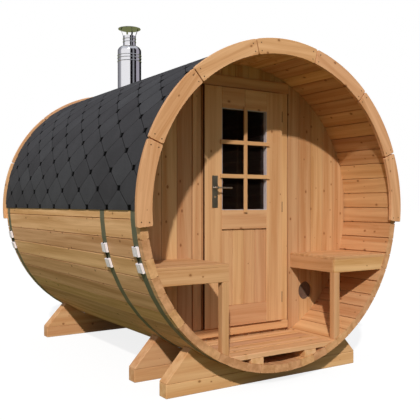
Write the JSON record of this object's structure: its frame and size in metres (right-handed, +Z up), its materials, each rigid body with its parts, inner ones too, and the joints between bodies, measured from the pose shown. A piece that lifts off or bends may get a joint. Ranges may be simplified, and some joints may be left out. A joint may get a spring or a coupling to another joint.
{
  "type": "barrel sauna",
  "caption": "Wooden barrel cabin lying on cradles, with an open front porch, a half-glazed door, side benches, a shingle roof skin and a flue.",
  "frame": {"origin": "on the ground, at the bottom centre of the whole object's box, under the barrel's axis", "axes": "+Z up, -Y towards the open porch and the door's front, +X to the right seen from the front, the barrel's axis along Y"},
  "size_m": [2.152, 2.614, 2.81],
  "materials": {
    "wood_stave": "planed softwood, oiled",
    "wood_trim": "planed softwood, oiled",
    "wood_wall": "planed softwood boards",
    "wood_door": "planed softwood",
    "wood_floor": "planed softwood boards",
    "wood_bench": "planed softwood",
    "wood_cradle": "rough sawn softwood",
    "shingle": "mineral granules on bitumen",
    "band_steel": "dull green-grey steel strip",
    "zinc_steel": "zinc plated steel",
    "dark_handle": "dark satin",
    "clear_glass": "clear",
    "stainless": "bright stainless steel"
  },
  "bodies": {
    "cabin": {"barrel_staves_01": "wood_stave", "barrel_staves_02": "wood_stave", "barrel_staves_03": "wood_stave", "barrel_staves_04": "wood_stave", "barrel_staves_05": "wood_stave", "barrel_staves_06": "wood_stave", "barrel_staves_07": "wood_stave", "barrel_staves_08": "wood_stave", "barrel_staves_09": "wood_stave", "barrel_staves_10": "wood_stave", "barrel_staves_11": "wood_stave", "barrel_staves_12": "wood_stave", "front_trim": "wood_trim", "back_trim": "wood_trim", "front_wall_left": "wood_wall", "front_wall_right": "wood_wall", "front_wall_over_door": "wood_wall", "front_wall_under_door": "wood_wall", "back_wall": "wood_wall", "door_jambs": "wood_door", "door_header": "wood_door", "door_sill": "wood_door", "porch_floor": "wood_floor", "room_floor": "wood_floor", "floor_bearers": "wood_floor", "bench_seats": "wood_bench", "bench_aprons": "wood_bench", "bench_legs": "wood_bench", "cradle_beams": "wood_cradle", "cradle_blocks": "wood_cradle", "roof_shingles": "shingle", "steel_bands": "band_steel", "band_tensioners": "zinc_steel", "door_jamb_hinges": "zinc_steel", "chimney_outer_pipe": "stainless", "chimney_liner": "stainless", "chimney_cone": "stainless", "chimney_cap": "stainless"},
    "door": {"door_leaf": "wood_door", "door_glass": "clear_glass", "door_glazing_beads": "wood_door", "door_glazing_bars": "wood_door", "door_panel": "wood_door", "door_leaf_hinges": "zinc_steel", "door_handle_plates": "dark_handle"},
    "lever": {"door_lever": "dark_handle"}
  },
  "joints": [
    {"name": "door_swing", "type": "hinge", "parent": "cabin", "child": "door", "pos_m": [0.347, -0.825, 1.143], "axis": [0, 0, 1], "range_deg": [0, 97]},
    {"name": "lever_turn", "type": "hinge", "parent": "door", "child": "lever", "pos_m": [-0.254, -0.822, 1.275], "axis": [0, 1, 0], "range_deg": [0, 45], "stiffness_Nm_per_rad": 1.2, "springref_deg": -20.05}
  ]
}
